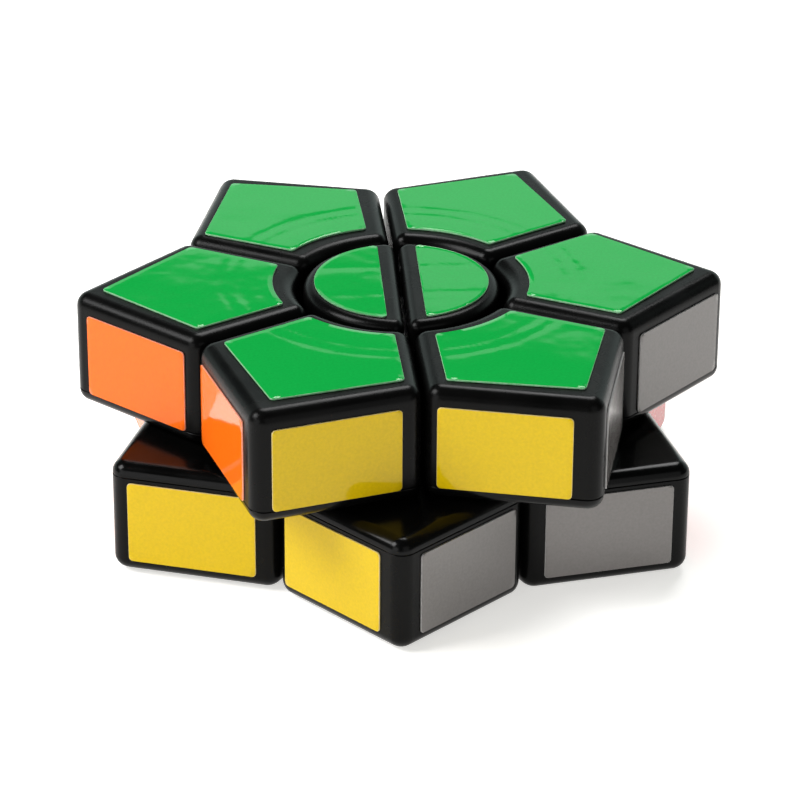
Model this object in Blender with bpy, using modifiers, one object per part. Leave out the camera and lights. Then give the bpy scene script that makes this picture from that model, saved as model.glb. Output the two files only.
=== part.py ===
"""A two-layer twisty puzzle in the shape of a six-pointed star.

Each layer is a ring of six hollow kite-shaped pieces around a round centre. The centre is a core of two
halves that meet on the slice plane X = 0. Four half-round caps are screwed to the core, and a groove
under each cap holds the hooked feet of the kites, so that a layer turns freely about Z.

Units are metres, +Z is up, and the origin is the middle of the underside. Every piece is modelled once
about the puzzle's centre, as a top or right-hand piece, and its copies are turned into their places.
"""
import math

import bmesh
import bpy
from mathutils import Euler, Matrix, Vector

# The star
POINT_COUNT = 6
POINT_STEP = math.tau / POINT_COUNT
TIP_RADIUS = 0.0477            # axis to the sharp tip, before the tip is rounded
TIP_HALF_ANGLE = math.radians(44.8)
TIP_ROUND = 0.0023
CORNER_ROUND = 0.0023
KITE_GAP = 0.0006              # between neighbouring kites
KITE_INNER_RADIUS = 0.0153     # the hollow side of a kite, around the caps
TOP_TURN = math.radians(2.0)   # how far each layer stands from the slice plane
BOTTOM_TURN = math.radians(27.0)

# Heights, measured from the middle plane outwards
STICKER_THICKNESS = 0.00025
STICKER_GAP = 0.00005
HALF_HEIGHT = 0.0175           # middle plane to the outside of a face sticker
BODY_TOP = HALF_HEIGHT - STICKER_THICKNESS - STICKER_GAP
LAYER_CLEARANCE = 0.00015      # each layer's share of the gap between the layers
SEAM_HEIGHT = 0.0021           # where a kite's cover meets its shell
SEAM_GAP = 0.0001

# Kite shells and covers
SHELL_WALL = 0.0016
SHELL_ROOF = 0.0018
FACE_ROUND = 0.0020            # rounding of a shell around its face
COVER_ROUND = 0.0017           # rounding of a cover around the middle plane
ROUND_SEGMENTS = 2
REGISTER_TOP = 0.0038          # the cover's raised middle, which centres the shell
REGISTER_GAP = 0.00015
PEG_PLACE = 0.0275
PEG_RADIUS = 0.0014
PEG_TOP = 0.0090
SOCKET_RADIUS = 0.0026
SOCKET_BOTTOM = 0.0065
PEG_CLEARANCE = 0.0001
PEG_SIDES = 12

# Kite feet, which ride between the core's flange and the caps
FOOT_HALF_ANGLE = math.radians(22)
FOOT_INNER_RADIUS = 0.0096
FOOT_ROOT_RADIUS = 0.0180      # inside the cover's register
FOOT_BOTTOM = 0.0012
FOOT_TOP = 0.0030
NOTCH_HALF_ANGLE = math.radians(23)
NOTCH_TOP = 0.0033             # of the opening in a shell's inner wall that the foot passes
HOOK_HALF_ANGLE = math.radians(21)
HOOK_INNER_RADIUS = 0.0097
HOOK_OUTER_RADIUS = 0.0114
HOOK_TOP = 0.0066
ARC_SEGMENTS = 6               # of every arc of a kite about the axis

# Core and caps
HUB_RADIUS = 0.0091
HUB_TOP = 0.0105
FLANGE_RADIUS = 0.0142
FLANGE_HALF_THICKNESS = 0.0009
CORE_GAP = 0.0003              # between the two core halves
CAP_RADIUS = 0.0142
CAP_ROUND = 0.0014
CAP_SLIT = 0.0006              # between the two half caps of a face
CAP_SKIRT_BOTTOM = 0.0033
CAP_SKIRT_INNER_RADIUS = 0.0119
CAP_GROOVE_TOP = 0.0070
CAP_SEAT = HUB_TOP + 0.0001
TURN_STEPS = 40                # of every shape turned about Z

# Cap screws
CAP_SCREW_PLACE = 0.0060
CAP_SCREW_RADIUS = 0.0010
CAP_SCREW_HEAD_RADIUS = 0.0022
CAP_SCREW_HEAD_BOTTOM = 0.0151
CAP_SCREW_HEAD_TOP = 0.0166
CAP_SCREW_TIP = 0.0052
CAP_SCREW_CLEARANCE = 0.0001
CAP_COUNTERBORE_RADIUS = 0.0025

# Pivot screw, spring and washer, along X through both core halves
PIVOT_RADIUS = 0.0012
PIVOT_CLEARANCE = 0.0001
PIVOT_HEAD_RADIUS = 0.0024
PIVOT_HEAD_INNER = 0.0072      # distances from the slice plane
PIVOT_HEAD_OUTER = 0.0088
PIVOT_TIP = 0.0075
PIVOT_BORE_DEPTH = 0.0080
POCKET_RADIUS = 0.0030
POCKET_FLOOR = 0.0025
WASHER_INNER_RADIUS = 0.0014
WASHER_OUTER_RADIUS = 0.0026
WASHER_THICKNESS = 0.0004
PIECE_GAP = 0.0001             # between the washer and the pieces on each side of it
SPRING_WIRE_RADIUS = 0.00025
SPRING_COIL_RADIUS = 0.0019
SPRING_TURNS = 4
SPRING_POINTS_PER_TURN = 10
SCREW_SIDES = 16
RECESS_LENGTH = 0.0024         # cross recess in each screw head
RECESS_WIDTH = 0.0005
RECESS_DEPTH = 0.0009

# Stickers
STICKER_HALF_ANGLE = math.radians(46.4)
STICKER_EDGE_MARGIN = 0.0034   # from a kite's outer sides
STICKER_GAP_MARGIN = 0.0026    # from a kite's sides along the gaps
STICKER_INNER_RADIUS = 0.0185
STICKER_CORNER_ROUND = 0.0006
DISC_STICKER_RADIUS = 0.0126
DISC_STICKER_EDGE = 0.0028     # from the slice plane
DISC_STICKER_SEGMENTS = 14

WELD_DISTANCE = 1e-6
FLAT_ANGLE = math.radians(0.1)
CUT_MARGIN = 0.001             # how far a cutter passes the surface that it cuts
FLAT_SHADING_ANGLE = math.radians(35)

BLACK_PLASTIC = ("black_plastic", (0.012, 0.012, 0.013), 0.35, 0.0)
CORE_PLASTIC = ("core_plastic", (0.60, 0.60, 0.58), 0.50, 0.0)
STEEL = ("steel", (0.55, 0.56, 0.58), 0.30, 1.0)
TOP_STICKER = ("top_sticker", (0.02, 0.40, 0.08), 0.25, 0.0)
BOTTOM_STICKER = ("bottom_sticker", (0.02, 0.10, 0.50), 0.25, 0.0)


def clear_scene():
    """Remove every object that the file opened with."""
    for thing in list(bpy.data.objects):
        bpy.data.objects.remove(thing)


def make_material(name, colour, roughness, metallic):
    """A Principled material with one colour."""
    material = bpy.data.materials.new(name)
    material.use_nodes = True
    shader = material.node_tree.nodes["Principled BSDF"]
    shader.inputs["Base Color"].default_value = (*colour, 1)
    shader.inputs["Roughness"].default_value = roughness
    shader.inputs["Metallic"].default_value = metallic
    return material


def evaluated_mesh(holder):
    """A free copy of an object's mesh with its modifiers applied; the object itself is removed."""
    bpy.context.scene.collection.objects.link(holder)
    graph = bpy.context.evaluated_depsgraph_get()
    mesh = bpy.data.meshes.new_from_object(holder.evaluated_get(graph))
    bpy.data.objects.remove(holder)
    return mesh


def tidy_mesh(mesh, merge_flat=False):
    """Weld loose caps, optionally merge flat neighbours into one face, and point every face outwards."""
    work = bmesh.new()
    work.from_mesh(mesh)
    bmesh.ops.remove_doubles(work, verts=work.verts, dist=WELD_DISTANCE)
    if merge_flat:
        bmesh.ops.dissolve_limit(work, angle_limit=FLAT_ANGLE, verts=work.verts, edges=work.edges)
    bmesh.ops.recalc_face_normals(work, faces=work.faces)
    work.to_mesh(mesh)
    work.free()
    return mesh


def plate(outline, low, high):
    """A flat outline of (x, y) points, filled and extruded between two heights."""
    curve = bpy.data.curves.new("outline", "CURVE")
    curve.dimensions = "2D"
    curve.fill_mode = "BOTH"
    curve.extrude = (high - low) / 2
    spline = curve.splines.new("POLY")
    spline.points.add(len(outline) - 1)
    for point, (x, y) in zip(spline.points, outline):
        point.co = (x, y, 0, 1)
    spline.use_cyclic_u = True
    mesh = evaluated_mesh(bpy.data.objects.new("outline", curve))
    mesh.transform(Matrix.Translation((0, 0, (low + high) / 2)))
    return tidy_mesh(mesh, merge_flat=True)


def turned(profile):
    """A closed profile of (radius, height) points, or one that ends on the axis, turned about Z."""
    closed = profile[0][0] > 0
    mesh = bpy.data.meshes.new("profile")
    edges = [(index, index + 1) for index in range(len(profile) - 1)]
    if closed:
        edges.append((len(profile) - 1, 0))
    mesh.from_pydata([(radius, 0, height) for radius, height in profile], edges, [])
    holder = bpy.data.objects.new("profile", mesh)
    screw = holder.modifiers.new("turn", "SCREW")
    screw.steps = TURN_STEPS
    screw.render_steps = TURN_STEPS
    screw.use_merge_vertices = True
    screw.merge_threshold = WELD_DISTANCE
    return tidy_mesh(evaluated_mesh(holder))


def rod(radius, start, end, sides):
    """A cylinder between two points."""
    start = Vector(start)
    along = Vector(end) - start
    mesh = bpy.data.meshes.new("rod")
    work = bmesh.new()
    bmesh.ops.create_cone(
        work, cap_ends=True, segments=sides, radius1=radius, radius2=radius, depth=along.length)
    turn = along.to_track_quat("Z", "Y").to_matrix().to_4x4()
    bmesh.ops.transform(work, matrix=Matrix.Translation(start + along / 2) @ turn, verts=work.verts)
    work.to_mesh(mesh)
    work.free()
    return mesh


def block(low, high):
    """A box between two corners."""
    low, high = Vector(low), Vector(high)
    mesh = bpy.data.meshes.new("block")
    work = bmesh.new()
    bmesh.ops.create_cube(work, size=1)
    size = Matrix.Diagonal((*(high - low), 1))
    bmesh.ops.transform(work, matrix=Matrix.Translation((low + high) / 2) @ size, verts=work.verts)
    work.to_mesh(mesh)
    work.free()
    return mesh


def combine(base, tool, operation):
    """The base mesh after one exact Boolean with the tool mesh."""
    base_object = bpy.data.objects.new("base", base)
    tool_object = bpy.data.objects.new("tool", tool)
    bpy.context.scene.collection.objects.link(tool_object)
    boolean = base_object.modifiers.new("combine", "BOOLEAN")
    boolean.operation = operation
    boolean.solver = "EXACT"
    boolean.object = tool_object
    mesh = evaluated_mesh(base_object)
    bpy.data.objects.remove(tool_object)
    return mesh


def joined(base, tool):
    return combine(base, tool, "UNION")


def cut(base, tool):
    return combine(base, tool, "DIFFERENCE")


def kept(base, tool):
    return combine(base, tool, "INTERSECT")


def round_rim(mesh, height, width):
    """Round the edges of a plate that lie at one height."""
    work = bmesh.new()
    work.from_mesh(mesh)
    rim = [edge for edge in work.edges
           if all(abs(vertex.co.z - height) < WELD_DISTANCE for vertex in edge.verts)]
    bmesh.ops.bevel(
        work, geom=rim, offset=width, offset_type="OFFSET", segments=ROUND_SEGMENTS,
        profile=0.5, affect="EDGES")
    work.to_mesh(mesh)
    work.free()
    return mesh


def rounded_corner(before, corner, after, radius, segments):
    """The arc that replaces a corner of an outline."""
    before, corner, after = Vector(before), Vector(corner), Vector(after)
    toward_before = (before - corner).normalized()
    toward_after = (after - corner).normalized()
    half_angle = toward_before.angle(toward_after) / 2
    setback = radius / math.tan(half_angle)
    middle = (toward_before + toward_after).normalized()
    centre = corner + middle * (radius / math.sin(half_angle))
    spoke = corner + toward_before * setback - centre
    sweep = spoke.angle_signed(corner + toward_after * setback - centre)
    points = []
    for step in range(segments + 1):
        angle = -sweep * step / segments
        arm = Matrix.Rotation(angle, 2) @ spoke
        points.append(tuple(centre + arm))
    return points


def kite_outline(edge_inset=0.0, gap_inset=0.0, inner_radius=KITE_INNER_RADIUS, rounds=None,
                 half_angle=TIP_HALF_ANGLE):
    """A kite's outline, its tip on +X and the puzzle's axis at the origin.

    The two outer sides and the two sides along the gaps move inwards by their insets. rounds gives the
    tip's and the side corners' radius, and leaves them sharp when it is None.
    """
    face_distance = TIP_RADIUS * math.sin(half_angle) - edge_inset
    tip = (face_distance / math.sin(half_angle), 0.0)
    gap_distance = KITE_GAP / 2 + gap_inset
    ray = Vector((math.cos(POINT_STEP / 2), math.sin(POINT_STEP / 2)))
    inwards = Vector((ray.y, -ray.x))
    gap_point = inwards * gap_distance
    face_normal = Vector((math.sin(half_angle), math.cos(half_angle)))
    reach = (face_distance - face_normal.dot(gap_point)) / face_normal.dot(ray)
    side = gap_point + ray * reach
    inner = gap_point + ray * math.sqrt(inner_radius ** 2 - gap_distance ** 2)
    inner_angle = math.atan2(inner.y, inner.x)
    arc = []
    for step in range(ARC_SEGMENTS + 1):
        angle = inner_angle * (1 - 2 * step / ARC_SEGMENTS)
        arc.append((inner_radius * math.cos(angle), inner_radius * math.sin(angle)))
    upper, lower = tuple(side), (side.x, -side.y)
    if rounds is None:
        return [tip, upper] + arc + [lower]
    tip_round, corner_round = rounds
    outline = rounded_corner(lower, tip, upper, tip_round, 2 * ROUND_SEGMENTS)
    outline += rounded_corner(tip, upper, arc[0], corner_round, ROUND_SEGMENTS)
    outline += arc
    outline += rounded_corner(arc[-1], lower, tip, corner_round, ROUND_SEGMENTS)
    return outline


def sector_outline(inner_radius, outer_radius, half_angle):
    """A piece of a flat ring, centred on +X."""
    angles = [half_angle * (1 - 2 * step / ARC_SEGMENTS) for step in range(ARC_SEGMENTS + 1)]
    inner = [(inner_radius * math.cos(angle), inner_radius * math.sin(angle)) for angle in angles]
    outer = [(outer_radius * math.cos(angle), outer_radius * math.sin(angle)) for angle in angles]
    return inner + outer[::-1]


def kite_shell():
    """The hollow outer part of a top kite, open towards the middle plane, with a socket for the peg.

    A notch in the wall beside the caps lets the cover's foot pass.
    """
    rounds = (TIP_ROUND, CORNER_ROUND)
    shell = round_rim(plate(kite_outline(rounds=rounds), SEAM_HEIGHT + SEAM_GAP, BODY_TOP), BODY_TOP,
                      FACE_ROUND)
    hollow = kite_outline(SHELL_WALL, SHELL_WALL, KITE_INNER_RADIUS + SHELL_WALL)
    shell = cut(shell, plate(hollow, SEAM_HEIGHT - CUT_MARGIN, BODY_TOP - SHELL_ROOF))
    notch = sector_outline(KITE_INNER_RADIUS - CUT_MARGIN, KITE_INNER_RADIUS + SHELL_WALL + CUT_MARGIN,
                           NOTCH_HALF_ANGLE)
    shell = cut(shell, plate(notch, SEAM_HEIGHT - CUT_MARGIN, NOTCH_TOP))
    socket = rod(SOCKET_RADIUS, (PEG_PLACE, 0, SOCKET_BOTTOM),
                 (PEG_PLACE, 0, BODY_TOP - SHELL_ROOF / 2), PEG_SIDES)
    bore = rod(PEG_RADIUS + PEG_CLEARANCE, (PEG_PLACE, 0, SOCKET_BOTTOM - CUT_MARGIN),
               (PEG_PLACE, 0, PEG_TOP + CUT_MARGIN), PEG_SIDES)
    return cut(joined(shell, socket), bore)


def kite_cover():
    """The part of a top kite along the middle plane, with its register, its peg and its hooked foot."""
    rounds = (TIP_ROUND, CORNER_ROUND)
    cover = round_rim(plate(kite_outline(rounds=rounds), LAYER_CLEARANCE, SEAM_HEIGHT),
                      LAYER_CLEARANCE, COVER_ROUND)
    inset = SHELL_WALL + REGISTER_GAP
    register = kite_outline(inset, inset, KITE_INNER_RADIUS + inset)
    cover = joined(cover, plate(register, SEAM_HEIGHT - CUT_MARGIN, REGISTER_TOP))
    peg = rod(PEG_RADIUS, (PEG_PLACE, 0, REGISTER_TOP - CUT_MARGIN), (PEG_PLACE, 0, PEG_TOP), PEG_SIDES)
    foot = sector_outline(FOOT_INNER_RADIUS, FOOT_ROOT_RADIUS, FOOT_HALF_ANGLE)
    hook = sector_outline(HOOK_INNER_RADIUS, HOOK_OUTER_RADIUS, HOOK_HALF_ANGLE)
    cover = joined(joined(cover, peg), plate(foot, FOOT_BOTTOM, FOOT_TOP))
    return joined(cover, plate(hook, FOOT_TOP - CUT_MARGIN, HOOK_TOP))


def kite_sticker():
    """The sticker on a top kite's face."""
    rounds = (STICKER_CORNER_ROUND, STICKER_CORNER_ROUND)
    outline = kite_outline(STICKER_EDGE_MARGIN, STICKER_GAP_MARGIN, STICKER_INNER_RADIUS, rounds,
                           STICKER_HALF_ANGLE)
    return plate(outline, BODY_TOP + STICKER_GAP, HALF_HEIGHT)


def right_half(mesh, slit):
    """What is left of a shape to the right of the slice plane."""
    reach = CAP_RADIUS + CUT_MARGIN
    return kept(mesh, block((slit / 2, -reach, -HALF_HEIGHT), (reach, reach, HALF_HEIGHT)))


def core_spool():
    """The right half of the core, with the holes for its two cap screws."""
    profile = [
        (0, HUB_TOP), (HUB_RADIUS, HUB_TOP), (HUB_RADIUS, FLANGE_HALF_THICKNESS),
        (FLANGE_RADIUS, FLANGE_HALF_THICKNESS), (FLANGE_RADIUS, -FLANGE_HALF_THICKNESS),
        (HUB_RADIUS, -FLANGE_HALF_THICKNESS), (HUB_RADIUS, -HUB_TOP), (0, -HUB_TOP)]
    half = right_half(turned(profile), CORE_GAP)
    for side in (1, -1):
        deep = side * (CAP_SCREW_TIP - CAP_SCREW_CLEARANCE)
        hole = rod(CAP_SCREW_RADIUS + CAP_SCREW_CLEARANCE, (CAP_SCREW_PLACE, 0, deep),
                   (CAP_SCREW_PLACE, 0, side * (HUB_TOP + CUT_MARGIN)), SCREW_SIDES)
        half = cut(half, hole)
    return half


def threaded_core():
    """The core half that the pivot screw is driven into, on the right."""
    bore = rod(PIVOT_RADIUS + PIVOT_CLEARANCE, (-CUT_MARGIN, 0, 0), (PIVOT_BORE_DEPTH, 0, 0), SCREW_SIDES)
    return cut(core_spool(), bore)


def sprung_core():
    """The core half with the pocket for the spring, modelled on the right and turned to the left."""
    bore = rod(PIVOT_RADIUS + PIVOT_CLEARANCE, (-CUT_MARGIN, 0, 0),
               (POCKET_FLOOR + CUT_MARGIN, 0, 0), SCREW_SIDES)
    pocket = rod(POCKET_RADIUS, (POCKET_FLOOR, 0, 0), (FLANGE_RADIUS + CUT_MARGIN, 0, 0), SCREW_SIDES)
    return cut(cut(core_spool(), bore), pocket)


def half_cap():
    """The right half of the top's round centre, with its counterbored screw hole and its groove."""
    edge = []
    for step in range(ROUND_SEGMENTS + 1):
        angle = math.pi / 2 * (1 - step / ROUND_SEGMENTS)
        edge.append((CAP_RADIUS - CAP_ROUND + CAP_ROUND * math.cos(angle),
                     BODY_TOP - CAP_ROUND + CAP_ROUND * math.sin(angle)))
    profile = [(0, BODY_TOP)] + edge + [
        (CAP_RADIUS, CAP_SKIRT_BOTTOM), (CAP_SKIRT_INNER_RADIUS, CAP_SKIRT_BOTTOM),
        (CAP_SKIRT_INNER_RADIUS, CAP_GROOVE_TOP), (HUB_RADIUS + CORE_GAP, CAP_GROOVE_TOP),
        (HUB_RADIUS + CORE_GAP, CAP_SEAT), (0, CAP_SEAT)]
    cap = right_half(turned(profile), CAP_SLIT)
    hole = rod(CAP_SCREW_RADIUS + CAP_SCREW_CLEARANCE, (CAP_SCREW_PLACE, 0, CAP_SEAT - CUT_MARGIN),
               (CAP_SCREW_PLACE, 0, BODY_TOP + CUT_MARGIN), SCREW_SIDES)
    counterbore = rod(CAP_COUNTERBORE_RADIUS, (CAP_SCREW_PLACE, 0, CAP_SCREW_HEAD_BOTTOM - PIECE_GAP),
                      (CAP_SCREW_PLACE, 0, BODY_TOP + CUT_MARGIN), SCREW_SIDES)
    return cut(cut(cap, hole), counterbore)


def half_disc_sticker():
    """The sticker on a top half cap, which hides its screw."""
    half_angle = math.acos(DISC_STICKER_EDGE / DISC_STICKER_RADIUS)
    outline = []
    for step in range(DISC_STICKER_SEGMENTS + 1):
        angle = half_angle * (2 * step / DISC_STICKER_SEGMENTS - 1)
        outline.append((DISC_STICKER_RADIUS * math.cos(angle), DISC_STICKER_RADIUS * math.sin(angle)))
    return plate(outline, BODY_TOP + STICKER_GAP, HALF_HEIGHT)


def screw(radius, head_radius, head_low, head_high, tip):
    """A screw along Z, its head up, with a cross recess."""
    shank = rod(radius, (0, 0, tip), (0, 0, head_low + PIECE_GAP), SCREW_SIDES)
    head = rod(head_radius, (0, 0, head_low), (0, 0, head_high), SCREW_SIDES)
    body = joined(head, shank)
    floor = head_high - RECESS_DEPTH
    for long_x in (True, False):
        half_x = (RECESS_LENGTH if long_x else RECESS_WIDTH) / 2
        half_y = (RECESS_WIDTH if long_x else RECESS_LENGTH) / 2
        body = cut(body, block((-half_x, -half_y, floor), (half_x, half_y, head_high + CUT_MARGIN)))
    return body


def cap_screw():
    """The screw that holds the top right half cap."""
    mesh = screw(CAP_SCREW_RADIUS, CAP_SCREW_HEAD_RADIUS, CAP_SCREW_HEAD_BOTTOM, CAP_SCREW_HEAD_TOP,
                 CAP_SCREW_TIP)
    mesh.transform(Matrix.Translation((CAP_SCREW_PLACE, 0, 0)))
    return mesh


def pivot_screw():
    """The screw through both core halves, its head up; it is laid along X with its head on the left."""
    return screw(PIVOT_RADIUS, PIVOT_HEAD_RADIUS, PIVOT_HEAD_INNER, PIVOT_HEAD_OUTER, -PIVOT_TIP)


def pivot_washer():
    """The flat washer under the pivot screw's head."""
    high = PIVOT_HEAD_INNER - PIECE_GAP
    low = high - WASHER_THICKNESS
    disc = rod(WASHER_OUTER_RADIUS, (0, 0, low), (0, 0, high), SCREW_SIDES)
    hole = rod(WASHER_INNER_RADIUS, (0, 0, low - CUT_MARGIN), (0, 0, high + CUT_MARGIN), SCREW_SIDES)
    return cut(disc, hole)


def pivot_spring():
    """The coil spring between the washer and the floor of the pocket."""
    low = POCKET_FLOOR + SPRING_WIRE_RADIUS + PIECE_GAP
    high = PIVOT_HEAD_INNER - WASHER_THICKNESS - 2 * PIECE_GAP - SPRING_WIRE_RADIUS
    count = SPRING_TURNS * SPRING_POINTS_PER_TURN
    curve = bpy.data.curves.new("coil", "CURVE")
    curve.dimensions = "3D"
    curve.bevel_depth = SPRING_WIRE_RADIUS
    curve.bevel_resolution = 2
    curve.use_fill_caps = True
    spline = curve.splines.new("POLY")
    spline.points.add(count)
    for index, point in enumerate(spline.points):
        angle = math.tau * index / SPRING_POINTS_PER_TURN
        height = low + (high - low) * index / count
        point.co = (SPRING_COIL_RADIUS * math.cos(angle), SPRING_COIL_RADIUS * math.sin(angle), height, 1)
    return tidy_mesh(evaluated_mesh(bpy.data.objects.new("coil", curve)))


def make_carrier(name, turn, collection):
    """An empty at the puzzle's centre, turned to the place of the pieces that it carries."""
    carrier = bpy.data.objects.new(name, None)
    carrier.location = (0, 0, HALF_HEIGHT)
    carrier.rotation_euler = Euler(turn)
    collection.objects.link(carrier)
    return carrier


def place(name, mesh, material, carrier, collection):
    """One named piece, riding on its carrier."""
    piece = bpy.data.objects.new(name, mesh)
    piece.parent = carrier
    if not mesh.materials:
        mesh.materials.append(material)
        mesh.shade_smooth()
        mesh.set_sharp_from_angle(angle=FLAT_SHADING_ANGLE)
    piece.material_slots[0].link = "OBJECT"
    piece.material_slots[0].material = material
    collection.objects.link(piece)


def add_kites(layer, turn_over, layer_turn, sticker_material, meshes, plastic, collection):
    """The six kites of a layer, numbered anticlockwise as seen from above."""
    for number in range(POINT_COUNT):
        kite = f"{layer}_kite_{number + 1}"
        carrier = make_carrier(f"{kite}_axis", (turn_over, 0, layer_turn + number * POINT_STEP), collection)
        place(f"{kite}_shell", meshes["shell"], plastic, carrier, collection)
        place(f"{kite}_cover", meshes["cover"], plastic, carrier, collection)
        place(f"{kite}_sticker", meshes["sticker"], sticker_material, carrier, collection)


def add_caps(materials, collection):
    """Each face's two half caps, with their screws and stickers."""
    meshes = {"cap": half_cap(), "screw": cap_screw(), "sticker": half_disc_sticker()}
    corners = {
        "top_right": (0, 0, 0), "top_left": (0, 0, math.pi),
        "bottom_right": (math.pi, 0, 0), "bottom_left": (0, math.pi, 0)}
    for corner, turn in corners.items():
        carrier = make_carrier(f"{corner}_axis", turn, collection)
        sticker = materials["top_sticker" if corner.startswith("top") else "bottom_sticker"]
        place(f"{corner}_cap", meshes["cap"], materials["black_plastic"], carrier, collection)
        place(f"{corner}_cap_screw", meshes["screw"], materials["steel"], carrier, collection)
        place(f"{corner}_cap_sticker", meshes["sticker"], sticker, carrier, collection)


def add_core(materials, collection):
    """The two core halves and what joins them."""
    right = make_carrier("right_core_axis", (0, 0, 0), collection)
    place("right_core_half", threaded_core(), materials["core_plastic"], right, collection)
    left = make_carrier("left_core_axis", (0, 0, math.pi), collection)
    place("left_core_half", sprung_core(), materials["core_plastic"], left, collection)
    pivot = make_carrier("pivot_axis", (0, -math.pi / 2, 0), collection)
    for name, mesh in (("screw", pivot_screw()), ("washer", pivot_washer()), ("spring", pivot_spring())):
        place(f"pivot_{name}", mesh, materials["steel"], pivot, collection)


def main():
    clear_scene()
    collection = bpy.data.collections.new("star_puzzle")
    bpy.context.scene.collection.children.link(collection)
    materials = {}
    for values in (BLACK_PLASTIC, CORE_PLASTIC, STEEL, TOP_STICKER, BOTTOM_STICKER):
        materials[values[0]] = make_material(*values)
    add_core(materials, collection)
    add_caps(materials, collection)
    meshes = {"shell": kite_shell(), "cover": kite_cover(), "sticker": kite_sticker()}
    plastic = materials["black_plastic"]
    add_kites("top", 0, TOP_TURN, materials["top_sticker"], meshes, plastic, collection)
    add_kites("bottom", math.pi, BOTTOM_TURN, materials["bottom_sticker"], meshes, plastic, collection)


main()
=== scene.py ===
"""The looks of the star puzzle: moulded black plastic, glossy vinyl stickers and a plain studio."""

import math

import bmesh
import bpy
from mathutils import Euler, Matrix, Vector


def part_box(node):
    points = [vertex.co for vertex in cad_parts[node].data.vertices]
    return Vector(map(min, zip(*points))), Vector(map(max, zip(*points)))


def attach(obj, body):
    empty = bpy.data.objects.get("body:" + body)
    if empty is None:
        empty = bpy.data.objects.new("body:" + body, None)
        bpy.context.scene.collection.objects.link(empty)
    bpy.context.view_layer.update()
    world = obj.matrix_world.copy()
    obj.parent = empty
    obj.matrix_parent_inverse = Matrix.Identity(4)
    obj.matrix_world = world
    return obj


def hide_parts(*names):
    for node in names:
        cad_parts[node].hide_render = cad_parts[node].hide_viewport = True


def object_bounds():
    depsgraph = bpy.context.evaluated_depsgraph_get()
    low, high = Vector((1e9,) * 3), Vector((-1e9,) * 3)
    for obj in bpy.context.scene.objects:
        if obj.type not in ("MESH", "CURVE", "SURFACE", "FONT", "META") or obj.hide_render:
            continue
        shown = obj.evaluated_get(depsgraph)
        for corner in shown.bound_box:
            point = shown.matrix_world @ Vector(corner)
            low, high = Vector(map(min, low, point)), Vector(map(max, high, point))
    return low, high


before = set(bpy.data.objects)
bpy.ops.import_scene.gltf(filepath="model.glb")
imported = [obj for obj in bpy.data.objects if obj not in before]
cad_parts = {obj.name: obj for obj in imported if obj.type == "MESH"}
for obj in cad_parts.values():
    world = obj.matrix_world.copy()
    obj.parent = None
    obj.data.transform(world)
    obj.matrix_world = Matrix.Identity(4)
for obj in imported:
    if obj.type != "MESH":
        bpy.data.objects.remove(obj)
cad_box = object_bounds()

# The star, as the CAD has it
POINT_COUNT = 6
POINT_STEP = math.tau / POINT_COUNT
TIP_RADIUS = 0.0477
TIP_HALF_ANGLE = math.radians(44.8)
TIP_ROUND = 0.0023
CORNER_ROUND = 0.0023
INNER_CORNER_ROUND = 0.0021
KITE_GAP = 0.0006
KITE_INNER_RADIUS = 0.0153
TOP_TURN = math.radians(2.0)
BOTTOM_TURN = math.radians(27.0)

# Heights above and below the middle plane, read from the frame
SHELL_LOW, SHELL_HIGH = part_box("top_kite_1_shell")
COVER_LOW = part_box("top_kite_1_cover")[0]
STICKER_LOW, STICKER_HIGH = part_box("top_kite_1_sticker")
MIDDLE = (cad_box[0][2] + cad_box[1][2]) / 2
SEAM_TOP = SHELL_LOW.z - MIDDLE
BODY_TOP = SHELL_HIGH.z - MIDDLE
LAYER_CLEARANCE = COVER_LOW.z - MIDDLE
STICKER_BASE = STICKER_LOW.z - MIDDLE
STICKER_THICKNESS = STICKER_HIGH.z - STICKER_LOW.z
SEAM_GAP = 0.0001
FACE_ROUND = 0.0020            # of a shell's rim around its face
COVER_ROUND_HEIGHT = 0.0018    # of a cover's rim along the middle plane
COVER_ROUND_WIDTH = 0.0020
SEAM_ROUND = 0.00010           # of the two thin edges at the seam
ROUND_STEPS = 6                # flat strips in a rounding
KITE_ARC_STEPS = 10            # along a kite's inner arc
SHARP_ANGLE = math.radians(50)

# Stickers
STICKER_HALF_ANGLE = math.radians(46.4)
STICKER_EDGE_MARGIN = 0.0034
STICKER_GAP_MARGIN = 0.0026
STICKER_INNER_RADIUS = 0.0185
STICKER_CORNER_ROUND = 0.0006
STICKER_RIM = 0.00006          # of the slope between a sticker's face and its cut edge
STICKER_POINT_SPACING = 0.0008
STICKER_RINGS = 14
SIDE_STICKER_NEAR = 0.0034     # from the sharp tip along the outer side
SIDE_STICKER_FAR = 0.0222
SIDE_STICKER_HEIGHT = 0.0124
SIDE_STICKER_LOW = {"top": 0.0022, "bottom": 0.0028}
SIDE_STICKER_LIFT = 0.00003
SIDE_STICKER_THICKNESS = 0.00022

# Where hand-placed stickers lie off their proper places: each top face sticker's turn and outward
# shift, and side stickers' shifts away from the tip, by layer, kite and side (1 is anticlockwise)
FACE_STICKER_TURNS = [math.radians(turn) for turn in (0.8, 0.8, 1.4, -0.2, 0.3, 0.6)]
FACE_STICKER_SHIFTS = (0.0, -0.00015, 0.0004, 0.0001, -0.0005, 0.0)
DISC_STICKER_TURN = math.radians(0.4)
SIDE_STICKER_SHIFTS = {
    ("top", 1, -1): -0.0009, ("top", 5, 1): -0.0007, ("top", 5, -1): 0.0006, ("top", 6, -1): 0.0007,
    ("bottom", 4, -1): -0.0006, ("bottom", 5, 1): 0.0007, ("bottom", 5, -1): 0.0003,
    ("bottom", 6, 1): -0.0004}

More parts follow.
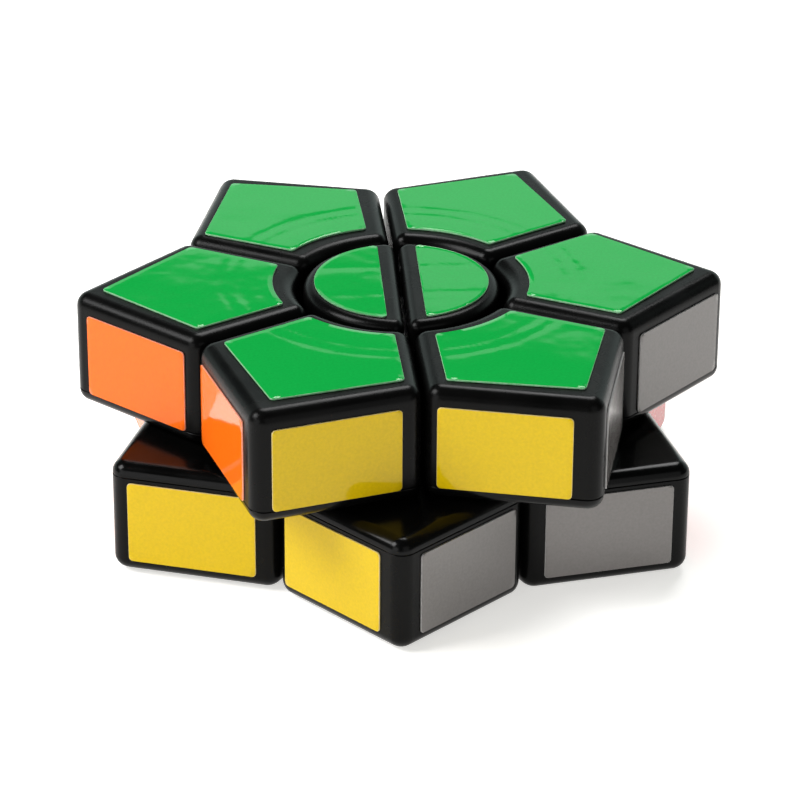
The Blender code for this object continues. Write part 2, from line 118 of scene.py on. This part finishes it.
# Unevenness of the stickers' faces. Sink marks are shallow grooves over the moulding's inner walls.
KITE_SINK_RADII = (0.0232, 0.0256)
KITE_SINK_DEPTH = 0.000020
KITE_SINK_WIDTH = 0.0007
KITE_WAVE = 0.000005
KITE_WAVE_RATES = (420, 360)   # radians per metre along x and y
KITE_WAVE_STARTS = (1.3, 0.4)
DISC_SINK_PLACES = (-0.0045, 0.0045)
DISC_SINK_DEPTH = 0.000014
DISC_SINK_WIDTH = 0.0005
DISC_WAVE = 0.000003
DISC_WAVE_RATES = (500, 420)
DISC_SLOPE = 0.0040            # a half cap's sticker lies lower toward one end of its slit
SIDE_WAVE = 0.000006
SIDE_WAVE_RATES = (500, 300, 410)
FACE_RELIEF_DROP = 0.000010    # keeps a face sticker's waves below its full height

# Half caps
CAP_RADIUS = 0.0142
CAP_SLIT = 0.0006
CAP_ROUND = 0.0014
CAP_CORNER_ROUND = 0.0016
DISC_STICKER_RADIUS = 0.0126
DISC_STICKER_EDGE = 0.0028
CAP_SKIRT_BOTTOM = 0.0033
CAP_SKIRT_INNER_RADIUS = 0.0119
CAP_GROOVE_TOP = 0.0070
CAP_ARC_STEPS = 40

# Kite feet
FOOT_HALF_ANGLE = math.radians(21)
FOOT_INNER_RADIUS = 0.0097
FOOT_ROOT_RADIUS = 0.0178
FOOT_BOTTOM = 0.0012
FOOT_TOP = 0.0030
HOOK_OUTER_RADIUS = 0.0114
HOOK_TOP = 0.0066

# Camera
CAMERA_AZIMUTH = math.radians(-3.33)
CAMERA_ELEVATION = math.radians(26.65)
CAMERA_ROLL = math.radians(0.34)
CAMERA_DISTANCE = 0.5476
CAMERA_AIM = (-0.00015, -0.00099, 0.01606)
CAMERA_LENS = 168.4
CAMERA_SENSOR = 36.0

# Studio
FLOOR_HALF_SIZE = 6
FLOOR_DARK = (0.87, 0.86, 0.845)
FLOOR_LIGHT = (0.89, 0.88, 0.865)
FLOOR_CLOUD_SCALE = 3
FLOOR_ROUGHNESS = 0.6
FLOOR_SPECULAR = 0.1
FLOOR_GLOW = 0.61
FLOOR_GLOW_COLOUR = (1.0, 0.985, 0.955)
ROOM_COLOUR = (0.84, 1.0, 0.96)
ROOM_STRENGTH = 0.06
SHEET_STRENGTH = 0.95
SHEET_EDGE = (0.4120, 0.4155)  # sine of the elevation where the bright sheet behind the puzzle ends
SHEET_SLANT = 0.150            # how fast that edge climbs to the right
SHEET_SIDES = (0.1, 0.5)       # how far behind the puzzle the sheet starts, and is at its brightest
# Name, place, size and power of each soft light; they all aim at the puzzle
LIGHTS = (
    ("key", (-1.58, -0.18, 1.5), 1.0, 40),
    ("back", (0.25, 1.1, 1.6), 0.85, 22),
    ("right_fill", (0.9, -1.6, 0.7), 1.4, 4),
    ("left_fill", (-1.4, -1.25, 0.40), 1.4, 12))

# Sticker colours
COLOURS = {
    "green": (0.003, 0.375, 0.054),
    "blue": (0.012, 0.075, 0.42),
    "orange": (0.92, 0.148, 0.007),
    "yellow": (0.66, 0.450, 0.003),
    "silver": (0.150, 0.137, 0.131),
    "red": (0.62, 0.012, 0.012),
    "purple": (0.12, 0.022, 0.26),
    "white": (0.80, 0.80, 0.78),
}
FACE_COLOURS = {"top": "green", "bottom": "blue"}
# Colour of each valley's two sides, anticlockwise from the one after the first top kite
VALLEY_COLOURS = ("red", "white", "purple", "orange", "yellow", "silver")
BOTTOM_VALLEY_SHIFT = 1
DARKER = 0.93                  # the range of a sticker's own unevenness in colour
LIGHTER = 1.05

# Materials: the scales are of noise, in the object's own metres; the depths are of bumps
NOISE_LOW = 0.3                # the range in which nearly all of a noise texture lies
NOISE_HIGH = 0.7
PLASTIC_CLOUD_SCALE = 140
PLASTIC_GRAIN_SCALE = 5200
PLASTIC_GRAIN_DEPTH = 0.00002
VINYL_CLOUD_SCALE = 60
VINYL_MOTTLE_SCALE = 2600
VINYL_WAVE_SCALE = 130
VINYL_WAVE_STRENGTH = 0.45
VINYL_WAVE_DEPTH = 0.0001
GLOSSIER = 0.8                 # the range of a sticker's own unevenness in roughness
DULLER = 1.25
EDGE_FLECK_SCALE = 3000
EDGE_COLOUR_SHARE = 0.45
EDGE_PALENESS = 0.42
EDGE_ROUGHNESS = 0.5
STEEL_CLOUD_SCALE = 900
STEEL_DARK = (0.42, 0.43, 0.45)
STEEL_LIGHT = (0.62, 0.62, 0.63)
STEEL_ROUGHNESS = (0.22, 0.40)
STEEL_MARK_STRENGTH = 0.2
STEEL_MARK_DEPTH = 0.00003


# ---------------------------------------------------------------- materials

def new_material(name):
    """A material with only a Principled shader, and its nodes and links."""
    material = bpy.data.materials.new(name)
    material.use_nodes = True
    nodes = material.node_tree.nodes
    return material, nodes, material.node_tree.links, nodes["Principled BSDF"]


def add_noise(nodes, links, scale, detail=4.0, roughness=0.5):
    """A noise texture in the object's own coordinates."""
    coordinates = nodes.new("ShaderNodeTexCoord")
    noise = nodes.new("ShaderNodeTexNoise")
    noise.inputs["Scale"].default_value = scale
    noise.inputs["Detail"].default_value = detail
    noise.inputs["Roughness"].default_value = roughness
    links.new(coordinates.outputs["Object"], noise.inputs["Vector"])
    return noise


def add_range(nodes, links, source, low, high, from_low=NOISE_LOW, from_high=NOISE_HIGH):
    """A value scaled from one range to another."""
    scale = nodes.new("ShaderNodeMapRange")
    scale.inputs["From Min"].default_value = from_low
    scale.inputs["From Max"].default_value = from_high
    scale.inputs["To Min"].default_value = low
    scale.inputs["To Max"].default_value = high
    links.new(source, scale.inputs["Value"])
    return scale.outputs["Result"]


def add_mix(nodes, links, factor, first, second):
    """A colour between two others."""
    mix = nodes.new("ShaderNodeMix")
    mix.data_type = "RGBA"
    mix.inputs["A"].default_value = (*first, 1)
    mix.inputs["B"].default_value = (*second, 1)
    links.new(factor, mix.inputs["Factor"])
    return mix.outputs["Result"]


def add_bump(nodes, links, height, strength, distance):
    """A bump from a height."""
    bump = nodes.new("ShaderNodeBump")
    bump.inputs["Strength"].default_value = strength
    bump.inputs["Distance"].default_value = distance
    links.new(height, bump.inputs["Height"])
    return bump.outputs["Normal"]


def plastic(name, dark, light, roughness, grain_strength, specular=0.5):
    """Moulded plastic: fine grain, uneven gloss and slightly uneven colour."""
    material, nodes, links, shader = new_material(name)
    cloud = add_noise(nodes, links, PLASTIC_CLOUD_SCALE, detail=3)
    grain = add_noise(nodes, links, PLASTIC_GRAIN_SCALE, detail=2, roughness=0.6)
    colour = add_mix(nodes, links, add_range(nodes, links, cloud.outputs["Fac"], 0, 1), dark, light)
    links.new(colour, shader.inputs["Base Color"])
    rough = add_range(nodes, links, cloud.outputs["Fac"], *roughness)
    links.new(rough, shader.inputs["Roughness"])
    shader.inputs["Specular IOR Level"].default_value = specular
    normal = add_bump(nodes, links, grain.outputs["Fac"], grain_strength, PLASTIC_GRAIN_DEPTH)
    links.new(normal, shader.inputs["Normal"])
    return material


def scaled(colour, factor):
    return tuple(min(1.0, channel * factor) for channel in colour)


def vinyl(name, colour, roughness=0.045, metallic=0.0, specular=0.25):
    """Glossy sticker vinyl: a faint unevenness from being pressed on by hand."""
    material, nodes, links, shader = new_material(name)
    cloud = add_noise(nodes, links, VINYL_CLOUD_SCALE, detail=2)
    mottle = add_noise(nodes, links, VINYL_MOTTLE_SCALE, detail=3)
    wave = add_noise(nodes, links, VINYL_WAVE_SCALE, detail=2, roughness=0.4)
    tone = add_range(nodes, links, mottle.outputs["Fac"], 0, 1)
    links.new(add_mix(nodes, links, tone, scaled(colour, DARKER), scaled(colour, LIGHTER)),
              shader.inputs["Base Color"])
    gloss = add_range(nodes, links, cloud.outputs["Fac"], roughness * GLOSSIER, roughness * DULLER)
    links.new(gloss, shader.inputs["Roughness"])
    shader.inputs["Metallic"].default_value = metallic
    shader.inputs["Specular IOR Level"].default_value = specular
    normal = add_bump(nodes, links, wave.outputs["Fac"], VINYL_WAVE_STRENGTH, VINYL_WAVE_DEPTH)
    links.new(normal, shader.inputs["Normal"])
    return material


def steel(name):
    """Zinc-plated steel with faint turning marks."""
    material, nodes, links, shader = new_material(name)
    cloud = add_noise(nodes, links, STEEL_CLOUD_SCALE)
    links.new(add_mix(nodes, links, cloud.outputs["Fac"], STEEL_DARK, STEEL_LIGHT),
              shader.inputs["Base Color"])
    rough = add_range(nodes, links, cloud.outputs["Fac"], *STEEL_ROUGHNESS)
    links.new(rough, shader.inputs["Roughness"])
    shader.inputs["Metallic"].default_value = 1.0
    normal = add_bump(nodes, links, cloud.outputs["Fac"], STEEL_MARK_STRENGTH, STEEL_MARK_DEPTH)
    links.new(normal, shader.inputs["Normal"])
    return material


def edge_of(name, colour):
    """The pale cut edge of a sticker, where the film's body shows."""
    material, nodes, links, shader = new_material(name)
    fleck = add_noise(nodes, links, EDGE_FLECK_SCALE, detail=2)
    pale = tuple(EDGE_COLOUR_SHARE * channel + EDGE_PALENESS for channel in colour)
    flecked = add_mix(nodes, links, fleck.outputs["Fac"], colour, pale)
    links.new(flecked, shader.inputs["Base Color"])
    shader.inputs["Roughness"].default_value = EDGE_ROUGHNESS
    return material


BLACK = plastic("black_plastic", dark=(0.0015, 0.0015, 0.0015), light=(0.0026, 0.0025, 0.0024),
                roughness=(0.22, 0.31), grain_strength=0.60, specular=0.10)
COVER_BLACK = plastic("cover_plastic", dark=(0.0012, 0.0012, 0.0012),
                      light=(0.0022, 0.0022, 0.0022), roughness=(0.16, 0.24), grain_strength=0.15,
                      specular=0.14)
CORE_WHITE = plastic("core_plastic", dark=(0.55, 0.55, 0.53), light=(0.64, 0.64, 0.62),
                     roughness=(0.42, 0.55), grain_strength=0.30)
STEEL = steel("zinc_steel")
VINYL = {name: vinyl(f"{name}_vinyl", colour)
         for name, colour in COLOURS.items() if name != "silver"}
VINYL["silver"] = vinyl("silver_vinyl", COLOURS["silver"], roughness=0.16, metallic=0.15,
                        specular=0.75)
VINYL_EDGE = {name: edge_of(f"{name}_edge", scaled(colour, LIGHTER))
              for name, colour in COLOURS.items()}


# ---------------------------------------------------------------- geometry

def rounded_corner(before, corner, after, radius, segments):
    """The arc that replaces a corner of an outline."""
    before, corner, after = Vector(before), Vector(corner), Vector(after)
    toward_before = (before - corner).normalized()
    toward_after = (after - corner).normalized()
    half_angle = toward_before.angle(toward_after) / 2
    setback = radius / math.tan(half_angle)
    middle = (toward_before + toward_after).normalized()
    centre = corner + middle * (radius / math.sin(half_angle))
    spoke = corner + toward_before * setback - centre
    sweep = spoke.angle_signed(corner + toward_after * setback - centre)
    return [tuple(centre + Matrix.Rotation(-sweep * step / segments, 2) @ spoke)
            for step in range(segments + 1)]


def arc_between(start, radius, steps):
    """An arc about the origin, clockwise from a point to its mirror image, both left out."""
    start_angle = math.atan2(start[1], start[0])
    angles = [start_angle * (1 - 2 * step / steps) for step in range(1, steps)]
    return [(radius * math.cos(angle), radius * math.sin(angle)) for angle in angles]


def kite_outline(edge_inset, gap_inset, inner_radius, rounds, half_angle=TIP_HALF_ANGLE):
    """A kite's outline; rounds holds the radii of its tip, side corners and inner corners."""
    face_distance = TIP_RADIUS * math.sin(half_angle) - edge_inset
    tip = (face_distance / math.sin(half_angle), 0.0)
    gap_distance = KITE_GAP / 2 + gap_inset
    ray = Vector((math.cos(POINT_STEP / 2), math.sin(POINT_STEP / 2)))
    gap_point = Vector((ray.y, -ray.x)) * gap_distance
    face_normal = Vector((math.sin(half_angle), math.cos(half_angle)))
    reach = (face_distance - face_normal.dot(gap_point)) / face_normal.dot(ray)
    side = gap_point + ray * reach
    inner = gap_point + ray * math.sqrt(inner_radius ** 2 - gap_distance ** 2)
    tip_round, corner_round, inner_round = rounds
    tangent = Vector((inner.y, -inner.x)).normalized()
    inner_fillet = rounded_corner(side, inner, inner + tangent, inner_round, ROUND_STEPS)
    arc = arc_between(inner_fillet[-1], inner_radius, KITE_ARC_STEPS)
    upper = rounded_corner(tip, side, inner, corner_round, ROUND_STEPS)
    mirrored = [(x, -y) for x, y in reversed(upper + inner_fillet)]
    tip_arc = rounded_corner((side.x, -side.y), tip, side, tip_round, 2 * ROUND_STEPS)
    return tip_arc + upper + inner_fillet + arc + mirrored


def half_disc_outline(radius, chord, corner_round):
    """The right half of a disc, its straight side at x = chord, with rounded corners."""
    corner = Vector((chord, math.sqrt(radius ** 2 - chord ** 2)))
    tangent = Vector((corner.y, -corner.x)).normalized()
    upper = rounded_corner((chord, 0), corner, corner + tangent, corner_round, ROUND_STEPS)
    arc = arc_between(upper[-1], radius, CAP_ARC_STEPS)
    return upper + arc + [(x, -y) for x, y in reversed(upper)]


def rectangle_outline(low_x, high_x, low_y, high_y, corner_round):
    """A rectangle with rounded corners, anticlockwise."""
    corners = [(low_x, low_y), (high_x, low_y), (high_x, high_y), (low_x, high_y)]
    outline = []
    for index, corner in enumerate(corners):
        before, after = corners[index - 1], corners[(index + 1) % 4]
        outline += rounded_corner(before, corner, after, corner_round, ROUND_STEPS)
    return outline


def slab_levels(low, high, low_round, high_round):
    """(inset, height) pairs up a slab's side; each rim's rounding is a (width, height) pair."""
    low_width, low_height = low_round
    high_width, high_height = high_round
    angles = [math.pi / 2 * step / ROUND_STEPS for step in range(ROUND_STEPS + 1)]
    lower = [(low_width * (1 - math.sin(angle)), low + low_height * (1 - math.cos(angle)))
             for angle in angles]
    upper = [(high_width * (1 - math.cos(angle)), high - high_height * (1 - math.sin(angle)))
             for angle in angles]
    return lower + upper


def loft(rings):
    """A closed mesh through rings of points that all have the same count."""
    work = bmesh.new()
    rows = [[work.verts.new(point) for point in ring] for ring in rings]
    count = len(rows[0])
    for low, high in zip(rows, rows[1:]):
        for index in range(count):
            after = (index + 1) % count
            work.faces.new((low[index], low[after], high[after], high[index]))
    work.faces.new(list(reversed(rows[0])))
    work.faces.new(rows[-1])
    bmesh.ops.recalc_face_normals(work, faces=work.faces)
    mesh = bpy.data.meshes.new("loft")
    work.to_mesh(mesh)
    work.free()
    return mesh


def add_mesh(mesh, other):
    """One mesh that holds both, each still closed."""
    work = bmesh.new()
    work.from_mesh(mesh)
    work.from_mesh(other)
    work.to_mesh(mesh)
    work.free()
    return mesh


def kite_slab(low, high, low_round, high_round):
    """A kite-shaped slab between two heights."""
    rings = []
    for inset, height in slab_levels(low, high, low_round, high_round):
        rounds = (TIP_ROUND - inset, CORNER_ROUND - inset, INNER_CORNER_ROUND - inset)
        outline = kite_outline(inset, inset, KITE_INNER_RADIUS + inset, rounds)
        rings.append([(x, y, height) for x, y in outline])
    return loft(rings)


def sector_slab(inner_radius, outer_radius, half_angle, low, high, steps=12):
    """A piece of a flat ring, centred on +X."""
    angles = [half_angle * (1 - 2 * step / steps) for step in range(steps + 1)]
    spokes = [Vector((math.cos(angle), math.sin(angle))) for angle in angles]
    outline = [tuple(spoke * inner_radius) for spoke in spokes]
    outline += [tuple(spoke * outer_radius) for spoke in reversed(spokes)]
    return loft([[(x, y, height) for x, y in outline] for height in (low, high)])


def resampled(outline, spacing):
    """The same outline with extra points along its long stretches."""
    points = []
    for index, start in enumerate(outline):
        start, end = Vector(start), Vector(outline[(index + 1) % len(outline)])
        parts = max(1, round((end - start).length / spacing))
        points += [tuple(start.lerp(end, part / parts)) for part in range(parts)]
    return points


def sticker_mesh(outline, thickness, relief):
    """A thin film: its rim is the second material, and its face follows a relief function."""
    outline = resampled(outline, STICKER_POINT_SPACING)
    centre = sum((Vector(point) for point in outline), Vector((0, 0))) / len(outline)
    work = bmesh.new()
    rows = []
    levels = [(1.0, 0.0), (1.0, thickness - STICKER_RIM)]
    span = max((Vector(point) - centre).length for point in outline)
    levels.append((1 - STICKER_RIM / span, thickness))
    for ring in range(1, STICKER_RINGS):
        levels.append(((1 - STICKER_RIM / span) * (1 - ring / STICKER_RINGS), thickness))
    for number, (scale, height) in enumerate(levels):
        row = []
        for point in outline:
            place = centre + (Vector(point) - centre) * scale
            lift = relief(place.x, place.y) if number > 1 else 0.0
            row.append(work.verts.new((place.x, place.y, height + lift)))
        rows.append(row)
    count = len(outline)
    for number, (low, high) in enumerate(zip(rows, rows[1:])):
        for index in range(count):
            after = (index + 1) % count
            face = work.faces.new((low[index], low[after], high[after], high[index]))
            face.material_index = 1 if number < 2 else 0
    base = work.faces.new(list(reversed(rows[0])))
    base.material_index = 1
    hub = work.verts.new((centre.x, centre.y, thickness + relief(centre.x, centre.y)))
    last = rows[-1]
    for index in range(count):
        work.faces.new((last[index], last[(index + 1) % count], hub))
    bmesh.ops.recalc_face_normals(work, faces=work.faces)
    mesh = bpy.data.meshes.new("sticker")
    work.to_mesh(mesh)
    work.free()
    return mesh


def smooth(mesh):
    mesh.shade_smooth()
    mesh.set_sharp_from_angle(angle=SHARP_ANGLE)
    return mesh


def add_piece(name, mesh, materials, place, body, nodes=()):
    """One piece in its place, riding on a body and standing for CAD nodes."""
    piece = bpy.data.objects.new(name, mesh.copy())
    piece.data.transform(place)
    for material in materials:
        piece.data.materials.append(material)
    bpy.context.scene.collection.objects.link(piece)
    smooth(piece.data)
    weight = piece.modifiers.new("weighted_normals", "WEIGHTED_NORMAL")
    weight.keep_sharp = True
    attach(piece, body)
    if nodes:
        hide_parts(*nodes)
    return piece


# ---------------------------------------------------------------- kites

def sink_mark(distance, width):
    """The depth of a sink mark at a distance from its middle, as a share of its full depth."""
    return math.exp(-(distance / width) ** 2)


def kite_relief(x, y):
    """The sink marks of the moulding's inner walls, and a soft waviness."""
    radius = math.hypot(x, y)
    sink = sum(sink_mark(radius - place, KITE_SINK_WIDTH) for place in KITE_SINK_RADII)
    (x_rate, y_rate), (x_start, y_start) = KITE_WAVE_RATES, KITE_WAVE_STARTS
    wave = math.sin(x * x_rate + x_start) * math.cos(y * y_rate + y_start)
    return KITE_WAVE * wave - KITE_SINK_DEPTH * sink - FACE_RELIEF_DROP


def side_relief(x, y):
    """The slight unevenness of a sticker on a flat side."""
    x_rate, y_rate, cross_rate = SIDE_WAVE_RATES
    return SIDE_WAVE * math.sin(x * x_rate + y * y_rate) * math.cos(y * cross_rate) - SIDE_WAVE


def disc_relief(x, y):
    """Two straight sink marks across a half cap, a soft waviness and a slight slope."""
    sink = sum(sink_mark(y - place, DISC_SINK_WIDTH) for place in DISC_SINK_PLACES)
    x_rate, y_rate = DISC_WAVE_RATES
    wave = math.sin(x * x_rate) * math.cos(y * y_rate)
    return DISC_WAVE * wave - DISC_SINK_DEPTH * sink - DISC_SLOPE * (y + DISC_STICKER_RADIUS)


def side_sticker_place(side, thickness_start):
    """From a side sticker's own plane to a top kite's outer side; side is 1 or -1."""
    normal = Vector((math.sin(TIP_HALF_ANGLE), side * math.cos(TIP_HALF_ANGLE), 0))
    along = Vector((-side * math.cos(TIP_HALF_ANGLE), math.sin(TIP_HALF_ANGLE), 0))
    up = Vector((0, 0, 1))
    origin = Vector((TIP_RADIUS, 0, 0)) + normal * thickness_start
    place = Matrix.Identity(4)
    for column, axis in enumerate((along, up, normal)):
        for row in range(3):
            place[row][column] = axis[row]
    return Matrix.Translation(origin) @ place


def kite_place(layer, number):
    """From a top kite's own frame, about the puzzle's centre, to its place in the row frame."""
    turn_over = 0 if layer == "top" else math.pi
    layer_turn = TOP_TURN if layer == "top" else BOTTOM_TURN
    turn = Euler((turn_over, 0, layer_turn + number * POINT_STEP)).to_matrix().to_4x4()
    return Matrix.Translation((0, 0, MIDDLE)) @ turn


def valley_colour(layer, number, side):
    """The colour of a kite's outer side; side is 1 for the anticlockwise one in its own frame."""
    if layer == "top":
        valley = number if side > 0 else number - 1
    else:
        valley = (number - 1 if side > 0 else number) + BOTTOM_VALLEY_SHIFT
    return VALLEY_COLOURS[valley % POINT_COUNT]


def add_kites():
    seam_round = (SEAM_ROUND, SEAM_ROUND)
    shell = kite_slab(SEAM_TOP, BODY_TOP, seam_round, (FACE_ROUND, FACE_ROUND))
    cover_round = (COVER_ROUND_WIDTH, COVER_ROUND_HEIGHT)
    cover = kite_slab(LAYER_CLEARANCE, SEAM_TOP - SEAM_GAP, cover_round, seam_round)
    foot = sector_slab(FOOT_INNER_RADIUS, FOOT_ROOT_RADIUS, FOOT_HALF_ANGLE, FOOT_BOTTOM, FOOT_TOP)
    hook = sector_slab(FOOT_INNER_RADIUS, HOOK_OUTER_RADIUS, FOOT_HALF_ANGLE, FOOT_TOP, HOOK_TOP)
    foot = add_mesh(foot, hook)
    rounds = (STICKER_CORNER_ROUND,) * 3
    outline = kite_outline(STICKER_EDGE_MARGIN, STICKER_GAP_MARGIN, STICKER_INNER_RADIUS, rounds,
                           STICKER_HALF_ANGLE)
    face = sticker_mesh(outline, STICKER_THICKNESS, kite_relief)
    to_face = Matrix.Translation((0, 0, STICKER_BASE))
    for layer, face_colour in FACE_COLOURS.items():
        for number in range(POINT_COUNT):
            body = f"{layer}_kite_{number + 1}"
            place = kite_place(layer, number)
            add_piece(f"{body}_body", shell, [BLACK], place, body,
                      [f"{body}_shell"])
            add_piece(f"{body}_lid", cover, [COVER_BLACK], place, body,
                      [f"{body}_cover"])
            add_piece(f"{body}_foot", foot, [BLACK], place, body,
                      [f"{body}_cover"])
            face_place = place @ to_face @ face_sticker_offset(layer, number)
            add_piece(f"{body}_face_sticker", face, [VINYL[face_colour], VINYL_EDGE[face_colour]],
                      face_place, body, [f"{body}_sticker"])
            add_side_stickers(layer, number, body, place)


def face_sticker_offset(layer, number):
    """How far a face sticker lies off its proper place."""
    if layer == "bottom":
        return Matrix.Identity(4)
    turn = Matrix.Rotation(FACE_STICKER_TURNS[number], 4, "Z")
    return turn @ Matrix.Translation((FACE_STICKER_SHIFTS[number], 0, 0))


def add_side_stickers(layer, number, body, place):
    low = SIDE_STICKER_LOW[layer]
    for side, word in ((1, "left"), (-1, "right")):
        shift = SIDE_STICKER_SHIFTS.get((layer, number + 1, side), 0.0)
        reach = sorted((side * (SIDE_STICKER_NEAR + shift), side * (SIDE_STICKER_FAR + shift)))
        outline = rectangle_outline(*reach, low, low + SIDE_STICKER_HEIGHT, STICKER_CORNER_ROUND)
        mesh = sticker_mesh(outline, SIDE_STICKER_THICKNESS, side_relief)
        colour = valley_colour(layer, number, side)
        add_piece(f"{body}_{word}_side_sticker", mesh, [VINYL[colour], VINYL_EDGE[colour]],
                  place @ side_sticker_place(side, SIDE_STICKER_LIFT), body)


# ---------------------------------------------------------------- centre

def cap_mesh():
    """The top right half cap: a rounded half disc with a skirt below it."""
    seam_round = (SEAM_ROUND, SEAM_ROUND)
    rings = []
    for inset, height in slab_levels(CAP_GROOVE_TOP, BODY_TOP, seam_round, (CAP_ROUND, CAP_ROUND)):
        outline = half_disc_outline(CAP_RADIUS - inset, CAP_SLIT / 2 + inset,
                                    CAP_CORNER_ROUND - inset)
        rings.append([(x, y, height) for x, y in outline])
    skirt_angle = math.acos(CAP_SLIT / CAP_RADIUS)
    skirt = sector_slab(CAP_SKIRT_INNER_RADIUS, CAP_RADIUS, skirt_angle, CAP_SKIRT_BOTTOM,
                        CAP_GROOVE_TOP, CAP_ARC_STEPS)
    return add_mesh(loft(rings), skirt)


def add_caps():
    cap = cap_mesh()
    outline = half_disc_outline(DISC_STICKER_RADIUS, DISC_STICKER_EDGE, STICKER_CORNER_ROUND)
    sticker = sticker_mesh(outline, STICKER_THICKNESS, disc_relief)
    corners = {
        "top_right": (0, 0, 0), "top_left": (0, 0, math.pi),
        "bottom_right": (math.pi, 0, 0), "bottom_left": (0, math.pi, 0)}
    to_face = Matrix.Translation((0, 0, STICKER_BASE)) @ Matrix.Rotation(DISC_STICKER_TURN, 4, "Z")
    for corner, turn in corners.items():
        place = Matrix.Translation((0, 0, MIDDLE)) @ Euler(turn).to_matrix().to_4x4()
        layer = corner.split("_")[0]
        colour = FACE_COLOURS[layer]
        add_piece(f"{corner}_half_cap", cap, [BLACK], place, "core",
                  [f"{corner}_cap"])
        add_piece(f"{corner}_half_sticker", sticker, [VINYL[colour], VINYL_EDGE[colour]],
                  place @ to_face, "core", [f"{corner}_cap_sticker"])


def dress_cad_nodes():
    """Give the inner CAD pieces their materials."""
    for name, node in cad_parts.items():
        if name.endswith("core_half"):
            node.data.materials[0] = CORE_WHITE
        elif name.startswith("pivot") or name.endswith("cap_screw"):
            node.data.materials[0] = STEEL


# ---------------------------------------------------------------- studio

def add_floor():
    """A pale floor, wide enough for every view."""
    work = bmesh.new()
    bmesh.ops.create_grid(work, x_segments=1, y_segments=1, size=FLOOR_HALF_SIZE)
    mesh = bpy.data.meshes.new("floor")
    work.to_mesh(mesh)
    work.free()
    floor = bpy.data.objects.new("floor", mesh)
    floor.location = (0, 0, cad_box[0][2])
    material, nodes, links, shader = new_material("floor")
    cloud = add_noise(nodes, links, FLOOR_CLOUD_SCALE, detail=2)
    links.new(add_mix(nodes, links, cloud.outputs["Fac"], FLOOR_DARK, FLOOR_LIGHT),
              shader.inputs["Base Color"])
    shader.inputs["Roughness"].default_value = FLOOR_ROUGHNESS
    shader.inputs["Specular IOR Level"].default_value = FLOOR_SPECULAR
    shader.inputs["Emission Color"].default_value = (*FLOOR_GLOW_COLOUR, 1)
    shader.inputs["Emission Strength"].default_value = FLOOR_GLOW
    mesh.materials.append(material)
    bpy.context.scene.collection.objects.link(floor)


def add_area_light(name, place, size, power):
    """A square soft light that aims at the puzzle."""
    light = bpy.data.lights.new(name, "AREA")
    light.shape = "SQUARE"
    light.size = size
    light.energy = power
    holder = bpy.data.objects.new(name, light)
    holder.location = place
    holder.rotation_euler = (-Vector(place)).to_track_quat("-Z", "Y").to_euler()
    bpy.context.scene.collection.objects.link(holder)


def add_world():
    """Dim surroundings with a bright sheet low down behind the puzzle."""
    world = bpy.data.worlds.new("studio")
    bpy.context.scene.world = world
    world.use_nodes = True
    nodes, links = world.node_tree.nodes, world.node_tree.links
    background = nodes["Background"]
    coordinates = nodes.new("ShaderNodeTexCoord")
    axes = nodes.new("ShaderNodeSeparateXYZ")
    links.new(coordinates.outputs["Generated"], axes.inputs["Vector"])
    behind = add_range(nodes, links, axes.outputs["Y"], 0, 1, *SHEET_SIDES)
    height = nodes.new("ShaderNodeMath")
    height.operation = "MULTIPLY_ADD"
    height.inputs[1].default_value = -SHEET_SLANT
    links.new(axes.outputs["X"], height.inputs[0])
    links.new(axes.outputs["Z"], height.inputs[2])
    low = add_range(nodes, links, height.outputs[0], 1, 0, *SHEET_EDGE)
    sheet = nodes.new("ShaderNodeMath")
    sheet.operation = "MULTIPLY"
    links.new(behind, sheet.inputs[0])
    links.new(low, sheet.inputs[1])
    strength = add_range(nodes, links, sheet.outputs[0], ROOM_STRENGTH, SHEET_STRENGTH, 0, 1)
    links.new(strength, background.inputs["Strength"])
    background.inputs["Color"].default_value = (*ROOM_COLOUR, 1)


def add_camera():
    camera = bpy.data.cameras.new("camera")
    camera.lens = CAMERA_LENS
    camera.sensor_width = CAMERA_SENSOR
    camera.clip_start = 0.01
    holder = bpy.data.objects.new("camera", camera)
    away = Vector((math.sin(CAMERA_AZIMUTH) * math.cos(CAMERA_ELEVATION),
                   -math.cos(CAMERA_AZIMUTH) * math.cos(CAMERA_ELEVATION),
                   math.sin(CAMERA_ELEVATION)))
    holder.location = Vector(CAMERA_AIM) + away * CAMERA_DISTANCE
    look = (-away).to_track_quat("-Z", "Y").to_matrix()
    holder.rotation_euler = (look @ Matrix.Rotation(CAMERA_ROLL, 3, "Z")).to_euler()
    bpy.context.scene.collection.objects.link(holder)
    bpy.context.scene.camera = holder


add_kites()
add_caps()
dress_cad_nodes()
add_floor()
for light_settings in LIGHTS:
    add_area_light(*light_settings)
add_world()
add_camera()
bpy.context.scene.view_settings.view_transform = "Standard"
